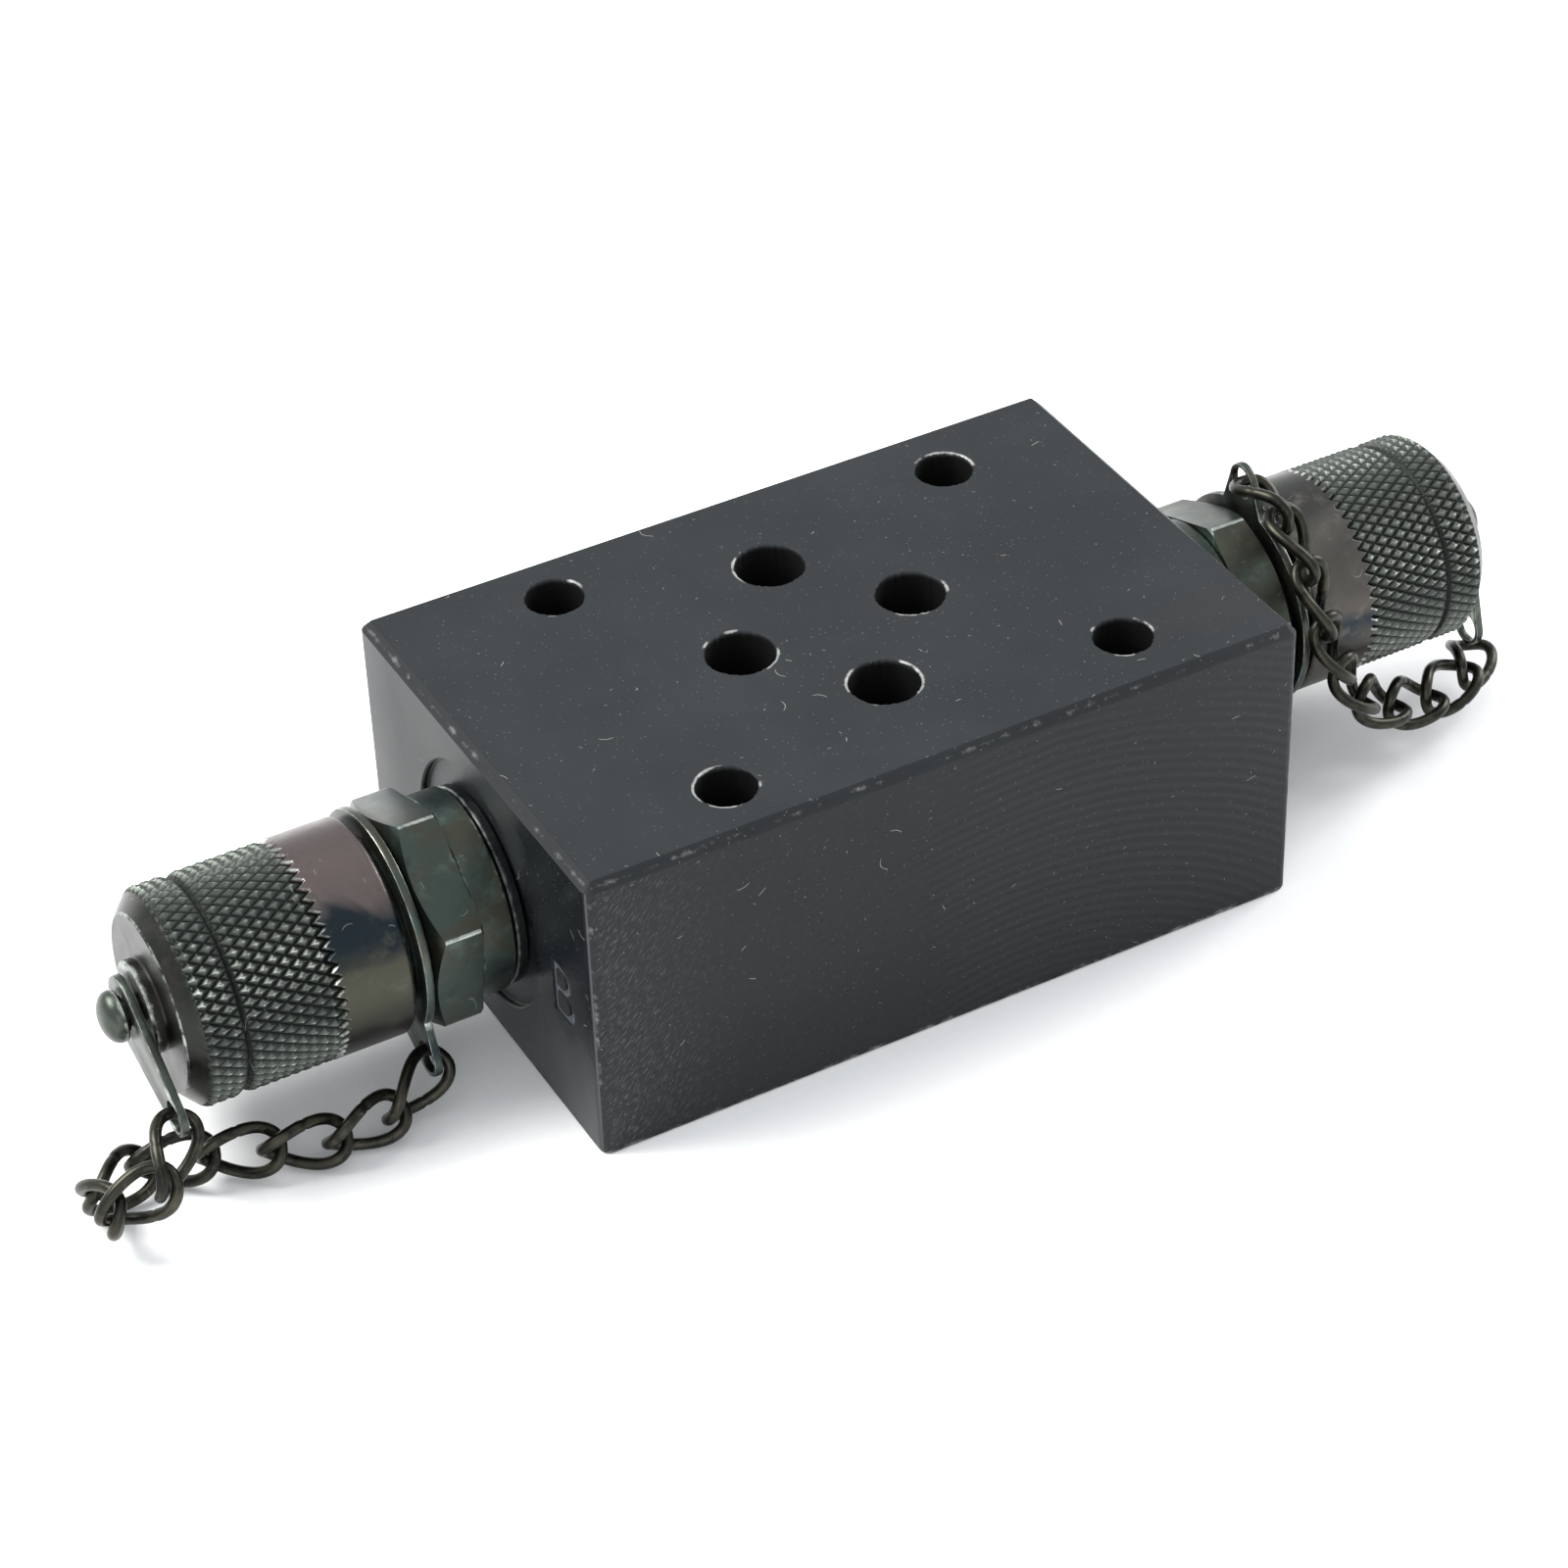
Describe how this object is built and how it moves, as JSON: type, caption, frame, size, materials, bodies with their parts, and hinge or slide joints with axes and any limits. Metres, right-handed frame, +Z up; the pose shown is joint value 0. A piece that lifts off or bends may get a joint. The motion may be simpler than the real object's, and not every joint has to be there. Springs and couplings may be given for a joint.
{
  "type": "hydraulic sandwich plate with test couplings",
  "caption": "Steel sandwich plate for stacked hydraulic valves, with vertical ports, bolt holes and a pressure test coupling with a chained, knurled screw cap at each end.",
  "frame": {"origin": "centre of the block's lower face, between its four port seals", "axes": "+Z up through the ports towards the top face, +X along the block towards the right coupling, +Y across it"},
  "size_m": [0.1506, 0.045, 0.0308],
  "materials": {
    "block_steel": "phosphated, matte, machined",
    "coupling_steel": "black-chromated, worn edges",
    "cap_steel": "black-chromated, knurled",
    "bright_steel": "zinc-grey, stamped or headed",
    "ring_steel": "black-chromated stamping",
    "chain_wire": "blackened wire",
    "spring_steel": "bright",
    "seal_rubber": "nitrile, matte"
  },
  "bodies": {
    "root": {"valve_block": "block_steel", "port_seal_p": "seal_rubber", "port_seal_t": "seal_rubber", "port_seal_b": "seal_rubber", "port_seal_a": "seal_rubber", "left_coupling_body": "coupling_steel", "left_coupling_head": "coupling_steel", "left_stud_seal": "seal_rubber", "left_probe_seal": "seal_rubber", "left_poppet_spring": "spring_steel", "left_spring_seat": "spring_steel", "right_coupling_body": "coupling_steel", "right_coupling_head": "coupling_steel", "right_stud_seal": "seal_rubber", "right_probe_seal": "seal_rubber", "right_poppet_spring": "spring_steel", "right_spring_seat": "spring_steel"},
    "left_poppet": {"left_poppet": "spring_steel"},
    "left_tether": {"left_chain_ring": "ring_steel"},
    "left_lug": {"left_cap_lug": "bright_steel"},
    "left_cap": {"left_cap": "cap_steel", "left_cap_rivet": "bright_steel"},
    "left_link_1": {"left_chain_link_1": "chain_wire"},
    "left_link_2": {"left_chain_link_2": "chain_wire"},
    "left_link_3": {"left_chain_link_3": "chain_wire"},
    "left_link_4": {"left_chain_link_4": "chain_wire"},
    "left_link_5": {"left_chain_link_5": "chain_wire"},
    "left_link_6": {"left_chain_link_6": "chain_wire"},
    "left_link_7": {"left_chain_link_7": "chain_wire"},
    "left_link_8": {"left_chain_link_8": "chain_wire"},
    "left_link_9": {"left_chain_link_9": "chain_wire"},
    "right_poppet": {"right_poppet": "spring_steel"},
    "right_tether": {"right_chain_ring": "ring_steel"},
    "right_lug": {"right_cap_lug": "bright_steel"},
    "right_cap": {"right_cap": "cap_steel", "right_cap_rivet": "bright_steel"},
    "right_link_1": {"right_chain_link_1": "chain_wire"},
    "right_link_2": {"right_chain_link_2": "chain_wire"},
    "right_link_3": {"right_chain_link_3": "chain_wire"},
    "right_link_4": {"right_chain_link_4": "chain_wire"},
    "right_link_5": {"right_chain_link_5": "chain_wire"},
    "right_link_6": {"right_chain_link_6": "chain_wire"},
    "right_link_7": {"right_chain_link_7": "chain_wire"},
    "right_link_8": {"right_chain_link_8": "chain_wire"},
    "right_link_9": {"right_chain_link_9": "chain_wire"}
  },
  "joints": [
    {"name": "left_poppet_lift", "type": "slide", "parent": "root", "child": "left_poppet", "axis": [1, 0, 0], "range_m": [0, 0.002], "stiffness_N_per_m": 800, "springref_m": -0.004, "deforming": ["left_poppet_spring"]},
    {"name": "left_tether_swing", "type": "hinge", "parent": "root", "child": "left_tether", "pos_m": [-0.04545, 0, 0.015], "axis": [1, 0, 0], "range_deg": [-60, 0]},
    {"name": "left_cap_travel", "type": "slide", "parent": "left_tether", "child": "left_lug", "axis": [-1, 0, 0], "range_m": [0, 0.008]},
    {"name": "left_cap_turn", "type": "hinge", "parent": "left_lug", "child": "left_cap", "pos_m": [-0.069, 0, 0.015], "axis": [-1, 0, 0], "range_deg": [0, 1441]},
    {"name": "left_link_1_hinge", "type": "hinge", "parent": "left_tether", "child": "left_link_1", "pos_m": [-0.04517, -0.00927, 0.00518], "axis": [-0.263, 0.7304, -0.6304], "range_deg": [0, 15.51]},
    {"name": "left_link_2_hinge", "type": "hinge", "parent": "left_link_1", "child": "left_link_2", "pos_m": [-0.05017, -0.01125, 0.00311], "axis": [-0.6814, -0.5436, 0.4901], "range_deg": [0, 15.28]},
    {"name": "left_link_3_hinge", "type": "hinge", "parent": "left_link_2", "child": "left_link_3", "pos_m": [-0.05593, -0.01156, 0.0029], "axis": [-0.021, -0.6512, 0.7586], "range_deg": [0, 11.59]},
    {"name": "left_link_4_hinge", "type": "hinge", "parent": "left_link_3", "child": "left_link_4", "pos_m": [-0.06146, -0.00997, 0.00328], "axis": [0.4606, 0.1935, 0.8663], "range_deg": [0, 5.36]},
    {"name": "left_link_5_hinge", "type": "hinge", "parent": "left_link_4", "child": "left_link_5", "pos_m": [-0.06681, -0.00784, 0.00347], "axis": [-0.3187, 0.9244, 0.2093], "range_deg": [0, 6.06]},
    {"name": "left_link_6_hinge", "type": "hinge", "parent": "left_link_5", "child": "left_link_6", "pos_m": [-0.07178, -0.00508, 0.00251], "axis": [-0.0931, -0.5634, -0.8209], "range_deg": [0, 28.79]},
    {"name": "left_link_7_hinge", "type": "hinge", "parent": "left_link_6", "child": "left_link_7", "pos_m": [-0.07706, -0.00737, 0.00287], "axis": [0.5875, -0.2518, -0.769], "range_deg": [0, 26.01]},
    {"name": "left_link_8_hinge", "type": "hinge", "parent": "left_link_7", "child": "left_link_8", "pos_m": [-0.07728, -0.01274, 0.00495], "axis": [0.1547, 0.0667, 0.9857], "range_deg": [0, 25.23]},
    {"name": "left_link_9_hinge", "type": "hinge", "parent": "left_link_8", "child": "left_link_9", "pos_m": [-0.07258, -0.0145, 0.00779], "axis": [-0.2796, 0.6449, 0.7113], "range_deg": [0, 25.73]},
    {"name": "right_poppet_lift", "type": "slide", "parent": "root", "child": "right_poppet", "axis": [-1, 0, 0], "range_m": [0, 0.002], "stiffness_N_per_m": 800, "springref_m": -0.004, "deforming": ["right_poppet_spring"]},
    {"name": "right_tether_swing", "type": "hinge", "parent": "root", "child": "right_tether", "pos_m": [0.04545, 0, 0.0159], "axis": [1, 0, 0], "range_deg": [-60, 0]},
    {"name": "right_cap_travel", "type": "slide", "parent": "right_tether", "child": "right_lug", "axis": [1, 0, 0], "range_m": [0, 0.008]},
    {"name": "right_cap_turn", "type": "hinge", "parent": "right_lug", "child": "right_cap", "pos_m": [0.069, 0, 0.0159], "axis": [1, 0, 0], "range_deg": [0, 1441]},
    {"name": "right_link_1_hinge", "type": "hinge", "parent": "right_tether", "child": "right_link_1", "pos_m": [0.04544, 0.00004, 0.02864], "axis": [-0.0709, -0.0403, 0.9967], "range_deg": [0, 22.32]},
    {"name": "right_link_2_hinge", "type": "hinge", "parent": "right_link_1", "child": "right_link_2", "pos_m": [0.04537, -0.00569, 0.02856], "axis": [0.0642, -0.9777, -0.2002], "range_deg": [0, 12.62]},
    {"name": "right_link_3_hinge", "type": "hinge", "parent": "right_link_2", "child": "right_link_3", "pos_m": [0.04527, -0.01037, 0.02527], "axis": [-0.2032, -0.3575, -0.9115], "range_deg": [0, 14.05]},
    {"name": "right_link_4_hinge", "type": "hinge", "parent": "right_link_3", "child": "right_link_4", "pos_m": [0.04532, -0.01316, 0.02026], "axis": [-0.6107, 0.0819, -0.7876], "range_deg": [0, 12.46]},
    {"name": "right_link_5_hinge", "type": "hinge", "parent": "right_link_4", "child": "right_link_5", "pos_m": [0.04727, -0.01352, 0.01489], "axis": [-0.8252, 0.0329, 0.5639], "range_deg": [0, 10.34]},
    {"name": "right_link_6_hinge", "type": "hinge", "parent": "right_link_5", "child": "right_link_6", "pos_m": [0.05029, -0.01317, 0.01003], "axis": [-0.6951, 0.1942, 0.6922], "range_deg": [0, 13.8]},
    {"name": "right_link_7_hinge", "type": "hinge", "parent": "right_link_6", "child": "right_link_7", "pos_m": [0.05487, -0.01192, 0.00683], "axis": [-0.4499, 0.3201, 0.8338], "range_deg": [0, 12.14]},
    {"name": "right_link_8_hinge", "type": "hinge", "parent": "right_link_7", "child": "right_link_8", "pos_m": [0.06017, -0.01085, 0.00495], "axis": [-0.2901, 0.945, 0.1514], "range_deg": [0, 5.74]},
    {"name": "right_link_9_hinge", "type": "hinge", "parent": "right_link_8", "child": "right_link_9", "pos_m": [0.06559, -0.00898, 0.00501], "axis": [0.1528, -0.4123, -0.8981], "range_deg": [0, 7.07]}
  ],
  "couplings": [
    {"joint": "left_cap_turn", "follows": "left_cap_travel", "rad_per_m": 3141.6},
    {"joint": "left_link_1_hinge", "follows": "left_cap_travel", "rad_per_m": 32.754},
    {"joint": "left_link_2_hinge", "follows": "left_cap_travel", "rad_per_m": 32.243},
    {"joint": "left_link_3_hinge", "follows": "left_cap_travel", "rad_per_m": 24.19},
    {"joint": "left_link_4_hinge", "follows": "left_cap_travel", "rad_per_m": 10.598},
    {"joint": "left_link_5_hinge", "follows": "left_cap_travel", "rad_per_m": 12.139},
    {"joint": "left_link_6_hinge", "follows": "left_cap_travel", "rad_per_m": 61.713},
    {"joint": "left_link_7_hinge", "follows": "left_cap_travel", "rad_per_m": 55.644},
    {"joint": "left_link_8_hinge", "follows": "left_cap_travel", "rad_per_m": 53.951},
    {"joint": "left_link_9_hinge", "follows": "left_cap_travel", "rad_per_m": 55.035},
    {"joint": "right_cap_turn", "follows": "right_cap_travel", "rad_per_m": 3141.6},
    {"joint": "right_link_1_hinge", "follows": "right_cap_travel", "rad_per_m": 47.602},
    {"joint": "right_link_2_hinge", "follows": "right_cap_travel", "rad_per_m": 26.448},
    {"joint": "right_link_3_hinge", "follows": "right_cap_travel", "rad_per_m": 29.561},
    {"joint": "right_link_4_hinge", "follows": "right_cap_travel", "rad_per_m": 26.09},
    {"joint": "right_link_5_hinge", "follows": "right_cap_travel", "rad_per_m": 21.473},
    {"joint": "right_link_6_hinge", "follows": "right_cap_travel", "rad_per_m": 29.02},
    {"joint": "right_link_7_hinge", "follows": "right_cap_travel", "rad_per_m": 25.401},
    {"joint": "right_link_8_hinge", "follows": "right_cap_travel", "rad_per_m": 11.443},
    {"joint": "right_link_9_hinge", "follows": "right_cap_travel", "rad_per_m": 14.339}
  ]
}
